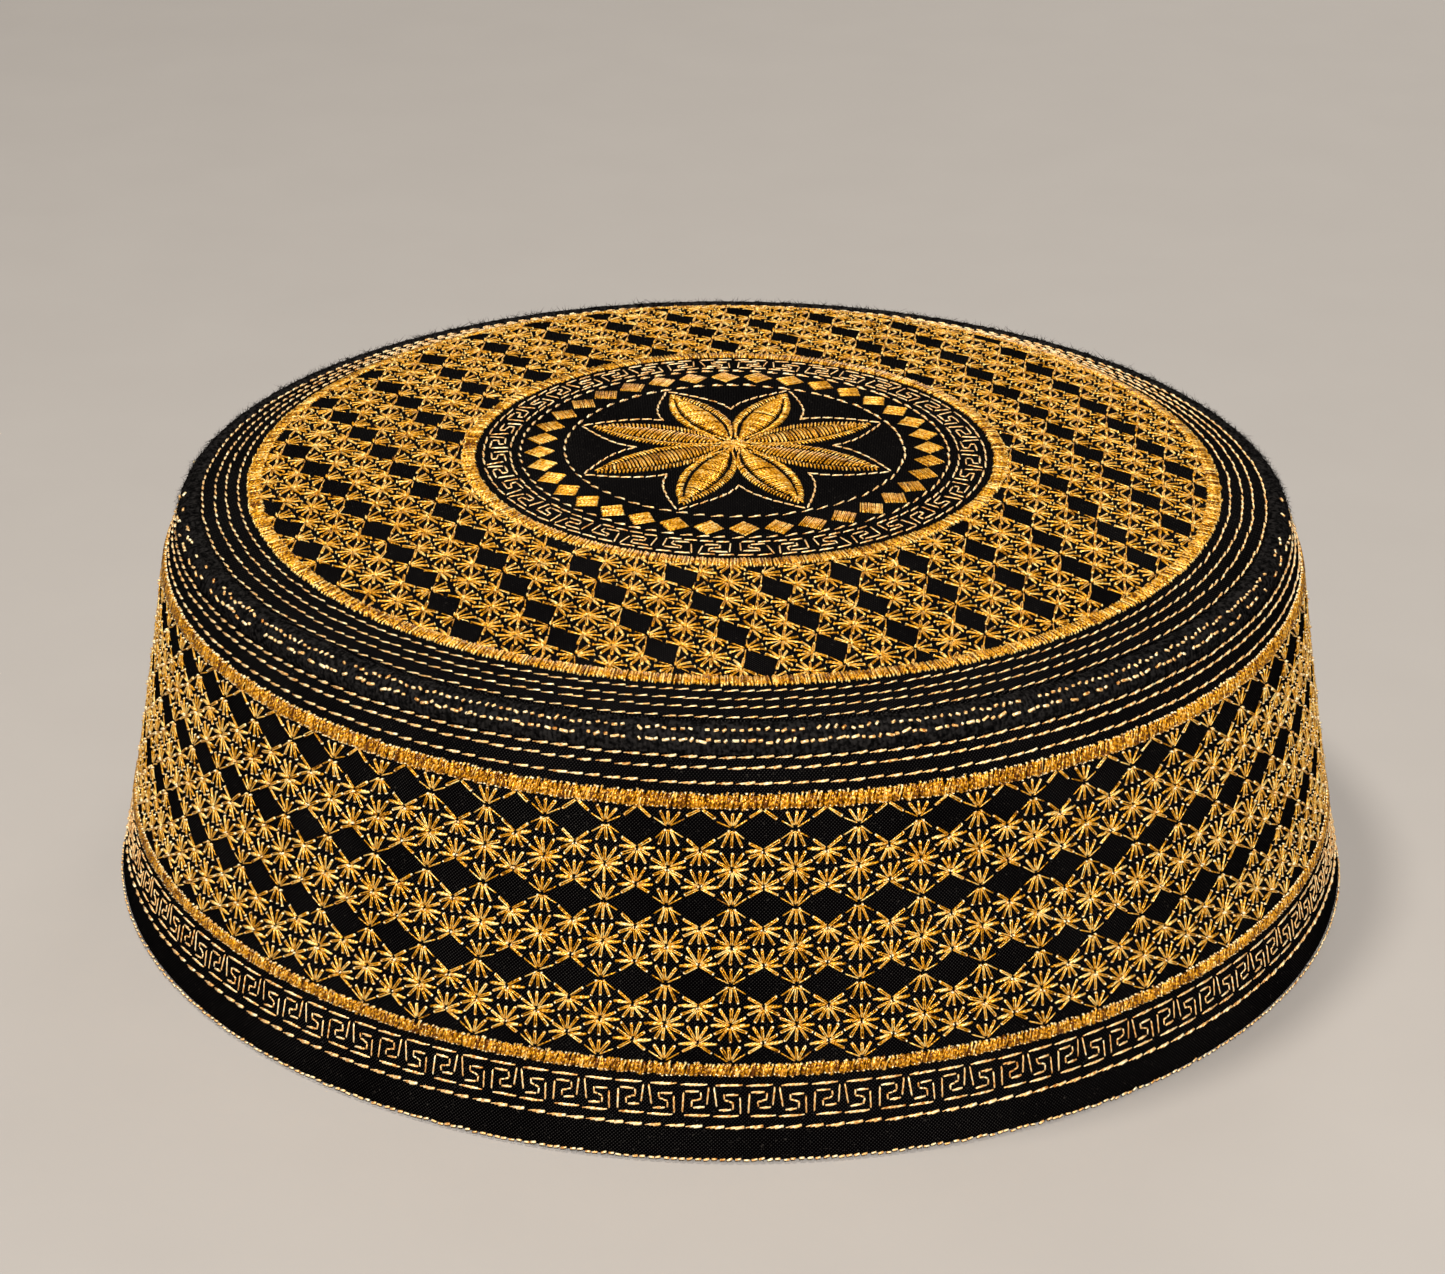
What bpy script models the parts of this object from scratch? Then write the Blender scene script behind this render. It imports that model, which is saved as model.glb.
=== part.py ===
"""A stiff round embroidered cap: a leaning side band of black twill, a slightly domed crown,
a fuzzy seam between them, four raised satin rings and a padded eight-petal flower.

The cap stands on its open rim at z = 0, with its axis on Z. Metres, Z up.
"""

import math

import bmesh
import bpy
from mathutils import Matrix

# Overall sizes
RIM_RADIUS = 0.0930  # outside of the open rim, at the floor
CAP_HEIGHT = 0.0653  # floor to the middle of the crown
CROWN_RADIUS = 0.0794  # cut edge of the crown, where it is sewn to the band
CROWN_DROP = 0.0062  # how far the crown's edge lies below its middle

# Cloth and seam
CLOTH = 0.0023  # twill, stiffener and backing together
TURN_IN = 0.0025  # width of the band's top edge, turned in under the crown
SEAM_THICKNESS = 0.0020  # overlocked ridge on the shoulder
CLEARANCE = 0.0003  # gap kept between neighbouring pieces

# Raised satin rings and borders
SATIN_HEIGHT = 0.0006
CROWN_RING_WIDTH = 0.0021
OUTER_RING_RADIUS = 0.0705
INNER_RING_RADIUS = 0.0392
BORDER_WIDTH = 0.0022
UPPER_BORDER_DROP = 0.0086  # middle of the upper border, below the shoulder
LOWER_BORDER_HEIGHT = 0.0129  # middle of the lower border, above the floor

# Flower in the middle of the crown
PETALS = 8
FIRST_PETAL_ANGLE = math.radians(25.3)
PETAL_START = 0.0034  # from the crown's middle
PETAL_TIP = 0.0225
PETAL_WIDTH = 0.0072
PETAL_THICKNESS = 0.0009
KNOT_RADIUS = 0.0027
PETAL_BELLY = 0.25  # share of a petal's thickness that lies below its widest outline

# Facets
SEGMENTS = 64
PETAL_SIDES = 10
PETAL_RINGS = 8
SEAM_SIDES = 8

# Lean of the band, from the floor to the shoulder: share of the shoulder's height, share of
# the step in from the rim's radius to the crown's radius
WALL_ROWS = (
    (0.00, 0.00),
    (0.11, 0.10),
    (0.22, 0.20),
    (0.47, 0.39),
    (0.68, 0.54),
    (0.85, 0.66),
    (0.92, 0.76),
    (0.96, 0.84),
    (1.00, 1.00),
)

# Dome of the crown: share of the crown's radius, share of its drop
CROWN_ROWS = (
    (0.00, 0.00),
    (0.26, 0.06),
    (0.50, 0.21),
    (0.70, 0.42),
    (0.84, 0.61),
    (0.94, 0.80),
    (1.00, 1.00),
)

COLLECTION = "Embroidered cap"


def along(rows, share):
    """The second column of a table of shares at this value of its first column."""
    for (x0, y0), (x1, y1) in zip(rows, rows[1:]):
        if share <= x1:
            return y0 + (y1 - y0) * (share - x0) / (x1 - x0)
    return rows[-1][1]


def crown_height(radius):
    """Height of the crown's upper face at this distance from the axis."""
    return CAP_HEIGHT - CROWN_DROP * along(CROWN_ROWS, radius / CROWN_RADIUS)


def shoulder_height():
    return crown_height(CROWN_RADIUS)


def wall_radius(height):
    """Outside radius of the band at this height."""
    lean = RIM_RADIUS - CROWN_RADIUS
    return RIM_RADIUS - lean * along(WALL_ROWS, height / shoulder_height())


def band_top():
    """Height of the band's top edge, which carries the crown's edge."""
    return shoulder_height() - CLOTH - CLEARANCE


def material(name, colour, roughness, metallic=0.0):
    made = bpy.data.materials.new(name)
    made.use_nodes = True
    shader = made.node_tree.nodes["Principled BSDF"]
    shader.inputs["Base Color"].default_value = (*colour, 1.0)
    shader.inputs["Roughness"].default_value = roughness
    shader.inputs["Metallic"].default_value = metallic
    made.diffuse_color = (*colour, 1.0)
    return made


def black_twill(name):
    return material(name + " twill", (0.012, 0.012, 0.014), 0.8)


def gold_satin(name):
    return material(name + " gold thread", (0.58, 0.32, 0.06), 0.4, 0.3)


def add_object(name, mesh, finish):
    made = bpy.data.objects.new(name, mesh)
    made.data.materials.append(finish)
    bpy.data.collections[COLLECTION].objects.link(made)
    return made


def turned(name, profile, finish):
    """A solid turned about Z from (radius, height) points that run down its outer side.

    A profile that starts and ends on the axis stays open there; any other is a closed ring.
    """
    count = len(profile)
    edges = [(i, i + 1) for i in range(count - 1)]
    if profile[0][0] > 0:
        edges.append((count - 1, 0))
    mesh = bpy.data.meshes.new(name)
    mesh.from_pydata([(radius, 0.0, height) for radius, height in profile], edges, [])
    made = add_object(name, mesh, finish)
    screw = made.modifiers.new("Turn", "SCREW")
    screw.axis = "Z"
    screw.steps = SEGMENTS
    screw.render_steps = SEGMENTS
    screw.use_merge_vertices = True
    screw.merge_threshold = 0.00001
    screw.use_smooth_shade = True
    return made


def side_band():
    """The leaning wall, with its top edge turned in to carry the crown."""
    top = band_top()
    inner_edge = CROWN_RADIUS - TURN_IN
    shelf = crown_height(inner_edge) - CLOTH - CLEARANCE
    heights = [share * shoulder_height() for share, _ in WALL_ROWS]
    below = [height for height in heights if height < top - CLOTH]
    outer = [(wall_radius(height), height) for height in reversed(below)]
    inner = [(wall_radius(height) - CLOTH, height) for height in below]
    profile = [(inner_edge, shelf), (CROWN_RADIUS, top), (wall_radius(top), top)]
    profile += outer + inner
    under = top - CLOTH
    profile += [(wall_radius(under) - CLOTH, under), (inner_edge, shelf - CLOTH)]
    return turned("side_band", profile, black_twill("side_band"))


def crown_panel():
    """The domed disc, one cloth thick."""
    radii = [share * CROWN_RADIUS for share, _ in CROWN_ROWS]
    upper = [(radius, crown_height(radius)) for radius in radii]
    lower = [(radius, crown_height(radius) - CLOTH) for radius in reversed(radii)]
    return turned("crown_panel", upper + lower, black_twill("crown_panel"))


def shoulder_seam():
    """The round ridge of black overlock that lies in the corner outside the crown's edge."""
    thick = SEAM_THICKNESS / 2
    radius = CROWN_RADIUS + CLEARANCE + thick
    height = band_top() + CLEARANCE + thick
    profile = []
    for side in range(SEAM_SIDES):
        turn = math.pi / 2 - 2 * math.pi * side / SEAM_SIDES
        profile.append((radius + thick * math.cos(turn), height + thick * math.sin(turn)))
    return turned("shoulder_seam", profile, black_twill("shoulder_seam"))


def satin_ring(name, middle, step, width):
    """A low rounded ring lying on the cloth.

    middle is the (radius, height) of the cloth under it and step a (radius, height) vector
    along the cloth, away from the crown's middle.
    """
    length = math.hypot(*step)
    down = (step[0] / length, step[1] / length)
    out = (-down[1], down[0])
    section = (
        (-0.25, SATIN_HEIGHT),
        (0.25, SATIN_HEIGHT),
        (0.50, SATIN_HEIGHT / 3),
        (0.50, 0.0),
        (-0.50, 0.0),
        (-0.50, SATIN_HEIGHT / 3),
    )
    profile = []
    for share, lift in section:
        across, rise = share * width, CLEARANCE + lift
        profile.append(
            (
                middle[0] + across * down[0] + rise * out[0],
                middle[1] + across * down[1] + rise * out[1],
            )
        )
    return turned(name, profile, gold_satin(name))


def crown_ring(name, radius):
    half = CROWN_RING_WIDTH / 2
    fall = crown_height(radius + half) - crown_height(radius - half)
    middle = (radius, crown_height(radius))
    return satin_ring(name, middle, (CROWN_RING_WIDTH, fall), CROWN_RING_WIDTH)


def band_border(name, height):
    half = BORDER_WIDTH / 2
    spread = wall_radius(height - half) - wall_radius(height + half)
    middle = (wall_radius(height), height)
    return satin_ring(name, middle, (spread, -BORDER_WIDTH), BORDER_WIDTH)


def padded_pip(name, length, width, thickness, sharpness):
    """A flattened pip along X with its lowest point on z = 0, from a sphere with its poles on X.

    sharpness 0.5 keeps the outline an ellipse, and 1 gives a leaf with pointed ends.
    """
    mesh = bpy.data.meshes.new(name)
    shape = bmesh.new()
    bmesh.ops.create_uvsphere(
        shape, u_segments=PETAL_SIDES, v_segments=PETAL_RINGS, radius=1.0
    )
    bmesh.ops.rotate(
        shape, verts=shape.verts, cent=(0, 0, 0), matrix=Matrix.Rotation(math.pi / 2, 3, "Y")
    )
    for point in shape.verts:
        girth = math.hypot(point.co.y, point.co.z)
        leaf = girth ** (2 * sharpness - 1) if girth > 1e-6 else 1.0
        rise = 1 - PETAL_BELLY if point.co.z > 0 else PETAL_BELLY
        point.co.x *= length / 2
        point.co.y *= leaf * width / 2
        point.co.z = point.co.z * leaf * rise * thickness + PETAL_BELLY * thickness
    shape.to_mesh(mesh)
    shape.free()
    mesh.shade_smooth()
    return add_object(name, mesh, gold_satin(name))


def petal(number):
    """One padded petal, laid on the crown's slope and turned to its place."""
    middle = (PETAL_START + PETAL_TIP) / 2
    length = PETAL_TIP - PETAL_START
    drop = crown_height(PETAL_START) - crown_height(middle)
    slope = math.atan2(drop, middle - PETAL_START)
    made = padded_pip(f"petal_{number + 1}", length, PETAL_WIDTH, PETAL_THICKNESS, 0.7)
    seat = Matrix.Translation((middle, 0, crown_height(middle) + CLEARANCE))
    turn = FIRST_PETAL_ANGLE + 2 * math.pi * number / PETALS
    made.matrix_world = Matrix.Rotation(turn, 4, "Z") @ seat @ Matrix.Rotation(slope, 4, "Y")
    return made


def flower_knot():
    made = padded_pip(
        "flower_knot", 2 * KNOT_RADIUS, 2 * KNOT_RADIUS, PETAL_THICKNESS, 0.5
    )
    made.location = (0, 0, CAP_HEIGHT + CLEARANCE)
    return made


def main():
    for old in list(bpy.data.objects):
        bpy.data.objects.remove(old)
    bpy.context.scene.collection.children.link(bpy.data.collections.new(COLLECTION))
    side_band()
    crown_panel()
    shoulder_seam()
    crown_ring("crown_ring_outer", OUTER_RING_RADIUS)
    crown_ring("crown_ring_inner", INNER_RING_RADIUS)
    band_border("band_border_upper", shoulder_height() - UPPER_BORDER_DROP)
    band_border("band_border_lower", LOWER_BORDER_HEIGHT)
    for number in range(PETALS):
        petal(number)
    flower_knot()


main()
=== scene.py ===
# %% [markdown]
# A stiff round cap of black twill, covered in gold machine embroidery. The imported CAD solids
# come in first and stay where they are. They say how big the cap is and where each ring and
# petal lies, and everything below is fitted to them.

# %% Load the frame
import math

import bpy
import numpy as np
from mathutils import Matrix, Vector


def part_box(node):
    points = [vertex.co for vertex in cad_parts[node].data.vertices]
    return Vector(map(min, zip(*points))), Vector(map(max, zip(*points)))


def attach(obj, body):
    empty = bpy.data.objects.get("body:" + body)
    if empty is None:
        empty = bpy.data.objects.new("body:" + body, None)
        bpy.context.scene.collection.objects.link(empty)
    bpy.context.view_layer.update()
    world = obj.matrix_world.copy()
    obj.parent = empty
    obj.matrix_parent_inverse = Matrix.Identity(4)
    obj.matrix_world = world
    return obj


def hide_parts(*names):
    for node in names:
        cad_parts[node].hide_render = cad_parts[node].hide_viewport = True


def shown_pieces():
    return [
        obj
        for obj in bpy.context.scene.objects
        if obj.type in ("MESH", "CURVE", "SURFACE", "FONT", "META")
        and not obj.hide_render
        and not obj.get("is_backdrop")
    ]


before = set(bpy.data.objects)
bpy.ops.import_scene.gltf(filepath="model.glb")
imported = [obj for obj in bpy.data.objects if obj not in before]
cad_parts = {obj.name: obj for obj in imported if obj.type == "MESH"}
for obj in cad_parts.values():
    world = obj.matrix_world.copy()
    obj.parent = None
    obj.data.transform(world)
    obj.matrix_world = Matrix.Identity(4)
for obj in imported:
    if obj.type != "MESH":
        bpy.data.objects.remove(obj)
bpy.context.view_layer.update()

# %% [markdown]
# The camera stands where the photographer stood, 26 degrees above the table and about 0.64 m
# away. Its height was worked out from the stitched rings: a circle seen at a slant becomes an
# ellipse, and the flatter the ellipse, the lower the eye.

# %% Camera
EYE = Vector((0.0, -0.5634, 0.3008))
LOOK_AT = Vector((0.0, 0.0, 0.0279))
ROLL = math.radians(0.54)
camera = bpy.data.objects.new("camera", bpy.data.cameras.new("camera"))
bpy.context.scene.collection.objects.link(camera)
camera.location = EYE
aim = (LOOK_AT - EYE).to_track_quat("-Z", "Y").to_matrix()
camera.rotation_euler = (aim @ Matrix.Rotation(ROLL, 3, "Z")).to_euler()
camera.data.lens = 103.1
camera.data.shift_x = -0.0069
camera.data.shift_y = 0.0256
bpy.context.scene.camera = camera
print("camera height above the floor:", round(EYE.z, 3))

# %% [markdown]
# The cap is a turned form, so two outlines say it all: how the band leans in and how the crown
# domes. Each is a short table of shares with a smooth curve through it. The sizes come from the
# boxes of the CAD nodes.

# %% Outlines of the band and the crown
CLOTH = 0.0023
MM = 0.001
ROUND = 2 * math.pi
WALL_ROWS = (
    (0.0, 0.0), (0.11, 0.1), (0.22, 0.2), (0.47, 0.39), (0.68, 0.54),
    (0.85, 0.66), (0.92, 0.76), (0.96, 0.84), (1.0, 1.0),
)
CROWN_ROWS = (
    (-0.26, 0.06), (0.0, 0.0), (0.26, 0.06), (0.5, 0.21), (0.7, 0.42),
    (0.84, 0.61), (0.94, 0.8), (1.0, 1.0),
)
RIM_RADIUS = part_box("side_band")[1].x
crown_low, crown_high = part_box("crown_panel")
CROWN_RADIUS, TOP, SHOULDER = crown_high.x, crown_high.z, crown_low.z + CLOTH


def smooth_curve(rows, count=600):
    """A dense line through (x, y) rows, made of Hermite pieces that share their slopes."""
    x, y = np.array(rows, float).T
    slope = np.gradient(y, x)
    place = np.linspace(x[0], x[-1], count)
    i = np.clip(np.searchsorted(x, place, side="right") - 1, 0, len(x) - 2)
    step = x[i + 1] - x[i]
    s = (place - x[i]) / step
    value = (1 + 2 * s) * (1 - s) ** 2 * y[i] + s * s * (3 - 2 * s) * y[i + 1]
    value += step * (s * (1 - s) ** 2 * slope[i] + s * s * (s - 1) * slope[i + 1])
    return place, value


WALL_CURVE = smooth_curve(WALL_ROWS)
CROWN_CURVE = smooth_curve(CROWN_ROWS)


def wall_radius(height):
    """Outside radius of the band at a height."""
    return RIM_RADIUS - (RIM_RADIUS - CROWN_RADIUS) * np.interp(height / SHOULDER, *WALL_CURVE)


def crown_height(radius):
    """Height of the crown's upper face at a distance from the axis."""
    return TOP - (TOP - SHOULDER) * np.interp(radius / CROWN_RADIUS, *CROWN_CURVE)


print("rim", round(RIM_RADIUS, 4), "crown", round(CROWN_RADIUS, 4), "top", round(TOP, 4))

# %% [markdown]
# Every stitch is drawn flat first. A place on the crown is a plan (x, y). A place on the band
# is an angle round the cap, with 0 in front, and a height. These helpers lay such places on the
# cloth, or on the round ridge of the seam, and say which way is outwards there, so a stitch can
# rise.

# %% From the flat pattern to the cloth
NEARBY = 0.0004
RIDGE_THICK = 0.00265
seam_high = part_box("shoulder_seam")[1]
RIDGE_MIDDLE = (seam_high.x - 0.0024, seam_high.z - 0.0023)


def ahead_of(angle):
    """The level direction outwards at an angle round the cap."""
    return np.stack([np.sin(angle), -np.cos(angle)], -1)


def on_crown(plan):
    """Points and outward directions of the crown's cloth at plan places (x, y)."""
    x, y = plan[..., 0], plan[..., 1]
    radius = np.maximum(np.hypot(x, y), 1e-7)
    slope = (crown_height(radius + NEARBY) - crown_height(radius - NEARBY)) / (2 * NEARBY)
    point = np.stack([x, y, crown_height(radius)], -1)
    out = np.stack([-slope * x / radius, -slope * y / radius, np.ones_like(x)], -1)
    return point, out / np.linalg.norm(out, axis=-1, keepdims=True)


def on_band(place):
    """Points and outward directions of the band's cloth at places (angle, height)."""
    angle, height = place[..., 0], place[..., 1]
    radius, ahead = wall_radius(height), ahead_of(angle)
    slope = (wall_radius(height + NEARBY) - wall_radius(height - NEARBY)) / (2 * NEARBY)
    point = np.concatenate([ahead * radius[..., None], height[..., None]], -1)
    out = np.concatenate([ahead, -slope[..., None]], -1)
    return point, out / np.linalg.norm(out, axis=-1, keepdims=True)


def on_ridge(place, thick=RIDGE_THICK):
    """Points and outward directions of the seam's round ridge at (angle, turn round it)."""
    angle, turn = place[..., 0], place[..., 1]
    ahead = ahead_of(angle)
    out = np.concatenate([ahead * np.cos(turn)[..., None], np.sin(turn)[..., None]], -1)
    height = np.full_like(angle, RIDGE_MIDDLE[1])
    middle = np.concatenate([ahead * RIDGE_MIDDLE[0], height[..., None]], -1)
    return middle + out * thick, out


def polar(radius, angle):
    """Plan places at a radius and an angle that is counted from +X, in radians."""
    return np.stack([radius * np.cos(angle), radius * np.sin(angle)], -1)


print("front of the band, 25 mm up:", on_band(np.array([[0.0, 0.025]]))[0].round(4))

# %% [markdown]
# Materials are networks of nodes. Here their maths reads like a formula: a small class wraps a
# node's socket and gives it plus, minus and times. A second one adds any other node, and holds
# the material that is being made.

# %% Writing materials as formulas
def joining(operation, flip=False):
    """A method that joins two values with a Math node."""
    def method(self, other):
        return self.maths(operation, *((other, self) if flip else (self, other)))
    return method


class Wire:
    """A value inside a material. Sums and products of wires add Math nodes."""

    def __init__(self, tree, socket):
        self.tree, self.socket = tree, socket

    def maths(self, operation, *values):
        made = self.tree.nodes.new("ShaderNodeMath")
        made.operation = operation
        for place, value in enumerate(values):
            connect(self.tree, value, made.inputs[place])
        return Wire(self.tree, made.outputs[0])

    def wave(self):
        """Sine of this value."""
        return self.maths("SINE", self)

    __add__ = __radd__ = joining("ADD")
    __sub__, __rsub__ = joining("SUBTRACT"), joining("SUBTRACT", flip=True)
    __mul__ = __rmul__ = joining("MULTIPLY")
    __truediv__, __pow__ = joining("DIVIDE"), joining("POWER")
    least, most = joining("MINIMUM"), joining("MAXIMUM")


def connect(tree, value, socket):
    """Links a wire to a socket, or sets the socket to a number, colour or vector."""
    if isinstance(value, Wire):
        tree.links.new(value.socket, socket)
    else:
        socket.default_value = value


class Finish:
    """A material being made, with its one Principled shader."""

    def __init__(self, name):
        self.material = bpy.data.materials.new(name)
        self.material.use_nodes = True
        self.tree = self.material.node_tree
        self.shader = self.tree.nodes["Principled BSDF"]

    def node(self, kind, inputs=None, settings=None, stops=None, out=0):
        """Adds a node with its settings, ramp stops and inputs."""
        made = self.tree.nodes.new("ShaderNode" + kind)
        for setting, value in (settings or {}).items():
            setattr(made, setting, value)
        if stops:
            ramp = made.color_ramp.elements
            while len(ramp) < len(stops):
                ramp.new(0.5)
            for element, (place, colour) in zip(ramp, stops):
                element.position, element.color = place, (*colour, 1.0)
        for name, value in (inputs or {}).items():
            connect(self.tree, value, made.inputs[name])
        return Wire(self.tree, made.outputs[out])

    def axes(self, vector):
        """The three parts of a vector, as wires."""
        first = self.node("SeparateXYZ", {"Vector": vector})
        return [Wire(self.tree, socket) for socket in first.socket.node.outputs]

    def place(self):
        """The point's own coordinates, in metres."""
        return self.node("TexCoord", out=3)

    def noise(self, place, scale, detail):
        """A cloudy value about 0.5. A larger scale makes it finer."""
        return self.node("TexNoise", {"Vector": place, "Scale": scale, "Detail": detail})

    def blend(self, factor, first, second):
        """A colour between two colours."""
        settings = {"data_type": "RGBA", "clamp_factor": True}
        return self.node("Mix", {0: factor, 6: first, 7: second}, settings, out=2)

    def surface(self, **values):
        """Sets the shader's sockets, with names such as Base_Color."""
        for name, value in values.items():
            connect(self.tree, value, self.shader.inputs[name.replace("_", " ")])
        return self.material


print("helpers ready")

# %% [markdown]
# The gold thread is twisted polyester with a metallic shine. Up close it shows slanting ribs,
# and no two stitches are equally bright. Each stitch therefore carries a tone of its own and a
# UV map that runs along and round it, which the ribs follow. The ribs are also painted into the
# colour, lighter on their crests as a painted highlight and darker between them as painted
# shade, and a fine noise adds painted glints.

# %% Gold thread
def thread(name, dark, middle, bright, metallic, roughness, rib, painted_rib_shade):
    """A thread's material. rib is one turn of the twisted thread. The last argument sets how
    strongly the ribs are painted into the colour, as painted highlight on their crests and painted
    shade between them.
    """
    made = Finish(name)
    tone = made.node("Attribute", settings={"attribute_name": "tone"}, out=2)
    around, length, _ = made.axes(made.node("UVMap", settings={"uv_map": "thread"}))
    # The ribs shape the bump. In the colour they are painted light on their crests and dark
    # between them: painted highlight and painted shade.
    ribs = ((length / rib + around) * ROUND).wave() * 0.5 + 0.5
    grain = made.noise(made.place(), 900.0, 2.0)
    # Fine noise that lifts small specks of the colour: painted glints.
    painted_glint = made.noise(made.place(), 2600.0, 1.0)
    # Each stitch's own tone, plus the painted rib highlight and shade and the painted glints.
    shade = tone * 0.75 + ribs * painted_rib_shade + (grain - 0.5) * 0.6 + (painted_glint - 0.5) * 1.3
    colour = made.node("ValToRGB", {0: shade}, stops=((0.0, dark), (0.5, middle), (1.0, bright)))
    bump = made.node("Bump", {"Height": ribs, "Strength": 0.6, "Distance": 0.00008})
    rough = roughness + grain * 0.12 - ribs * 0.05
    return made.surface(Base_Color=colour, Metallic=metallic, Roughness=rough, Normal=bump,
                        Specular_IOR_Level=0.7, Specular_Tint=(1.0, 0.72, 0.28, 1.0),
                        Coat_Weight=0.1, Coat_Roughness=0.1, Coat_Tint=(1.0, 0.92, 0.75, 1.0))


gold_thread = thread(
    "gold_thread", (0.09, 0.02, 0.0004), (0.79, 0.345, 0.006), (1.0, 0.8, 0.32),
    metallic=0.32, roughness=0.24, rib=0.00055, painted_rib_shade=0.36)
pale_thread = thread(
    "pale_gold_thread", (0.4, 0.14, 0.02), (0.95, 0.57, 0.22), (1.0, 0.9, 0.6),
    metallic=0.18, roughness=0.26, rib=0.00085, painted_rib_shade=0.5)
print("threads:", gold_thread.name, pale_thread.name)

# %% [markdown]
# The cloth is a dense black twill with fine slanting ribs, and here and there a fibre catches
# the light. The crests of the ribs are coloured lighter, a painted sheen. On the band the ribs
# follow the angle round the cap, and on the crown they run straight across, because each was
# cut flat. The seam's overlock thread is duller, and fluff breaks up its lines.

# %% Black twill
TWILL_STEP = 0.0005
RIBS_ROUND_BAND = 1120


def round_cap(x, y):
    """The angle round the cap, with 0 in front."""
    return x.maths("ARCTAN2", x, 0.0 - y)


def twill(name, around_band):
    made = Finish(name)
    place = made.place()
    x, y, z = made.axes(place)
    if around_band:
        u, v = round_cap(x, y) * (RIBS_ROUND_BAND / ROUND), z / TWILL_STEP
    else:
        u, v = x / TWILL_STEP, y / TWILL_STEP
    ribs = ((u - v) * ROUND).wave() * 0.5 + 0.5
    threads = ((u + v) * ROUND).wave() * 0.5 + 0.5
    cloudy = made.noise(place, 60.0, 4.0)
    lint = made.noise(place, 3200.0, 1.0)
    specks = ((lint - 0.68) * 9.0).most(0.0).least(1.0)
    weave = (ribs * (threads * 0.7 + 0.3)) ** 4.0
    # Painted sheen: the raised crests of the weave are coloured lighter, where light would catch
    # them, and the cloudy noise varies how much.
    dark = made.blend(weave * (cloudy * 1.5 + 0.1),
                      (0.0003, 0.0002, 0.0003, 1), (0.039, 0.0365, 0.036, 1))
    colour = made.blend(specks, dark, (0.03, 0.027, 0.024, 1))
    bump = made.node("Bump", {"Height": weave, "Strength": 0.6, "Distance": 0.0001})
    return made.surface(Base_Color=colour, Roughness=0.62 + cloudy * 0.2, Normal=bump,
                        Specular_IOR_Level=0.0)


band_twill = twill("black_twill_band", True)
crown_twill = twill("black_twill_crown", False)

fuzz = Finish("black_fuzz")
fuzz_place = fuzz.place()
fuzz_noise = fuzz.noise(fuzz_place, 1500.0, 3.0)
fuzz_x, fuzz_y, fuzz_z = fuzz.axes(fuzz_place)
overlock = round_cap(fuzz_x, fuzz_y) * 800.0 + fuzz_z * 900.0 + fuzz_noise * 9.0
overlock = overlock.wave() * 0.5 + 0.5
black_fuzz = fuzz.surface(
    Base_Color=fuzz.blend((overlock + 0.6) * (fuzz_noise * 1.9) ** 5.0 * 0.6,
                          (0.0008, 0.0008, 0.0009, 1), (0.014, 0.013, 0.0128, 1)),
    Roughness=0.75 + fuzz_noise * 0.2,
    Normal=fuzz.node("Bump", {"Height": fuzz_noise, "Strength": 0.8, "Distance": 0.0003}),
    Specular_IOR_Level=0.0)
print("cloth:", band_twill.name, crown_twill.name, black_fuzz.name)

# %% [markdown]
# A maker in Blender turns a ring by adding a circle and extruding it again and again, moving
# and resizing each new ring, like a pot on a wheel. One helper does that along (radius, height)
# rows. Behind, the worn shoulder hangs up to 2 mm, and less where the thick seam holds it.
# Every finished piece is lowered there by one rule, so stitches and cloth stay together.

# %% Turning a ring of cloth
def begin(name):
    """Names the object that was just added."""
    made = bpy.context.object
    made.name = made.data.name = name
    return made


def deselect():
    bpy.ops.object.select_all(action="DESELECT")


def edit_all():
    """Edit mode, with the whole mesh selected."""
    bpy.ops.object.mode_set(mode="EDIT")
    bpy.ops.mesh.select_all(action="SELECT")


def stop_editing():
    bpy.ops.object.mode_set(mode="OBJECT")


HANG, HELD_BY_SEAM = 0.002, 0.0006
HANG_OUTWARDS, HANG_AT_SEAM = (0.0655, 0.012), (0.0782, 0.0012)
HANG_UPWARDS = (0.036, 0.022)


def eased(value, start, way):
    """A smooth rise from 0 at start to 1 at the end of the way."""
    share = np.clip((value - start) / way, 0, 1)
    return share * share * (3 - 2 * share)


def hang_behind(mesh):
    """Lowers the points of a mesh that lie on the cap's shoulder, at the back."""
    spots = np.array([v.co for v in mesh.vertices])
    radius = np.maximum(np.hypot(spots[:, 0], spots[:, 1]), 1e-7)
    behind = np.clip(spots[:, 1] / radius, 0, 1)
    hang = HANG * eased(radius, *HANG_OUTWARDS) - HELD_BY_SEAM * eased(radius, *HANG_AT_SEAM)
    spots[:, 2] -= hang * behind * eased(spots[:, 2], *HANG_UPWARDS)
    mesh.vertices.foreach_set("co", spots.astype(np.float32).ravel())
    mesh.update()


def settle(made, finish, replaced=()):
    """Finishes a piece and puts it on the cap, where it rides on root."""
    hang_behind(made.data)
    made.data.materials.clear()
    made.data.materials.append(finish)
    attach(made, "root")
    if replaced:
        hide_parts(*replaced)
    return made


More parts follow.
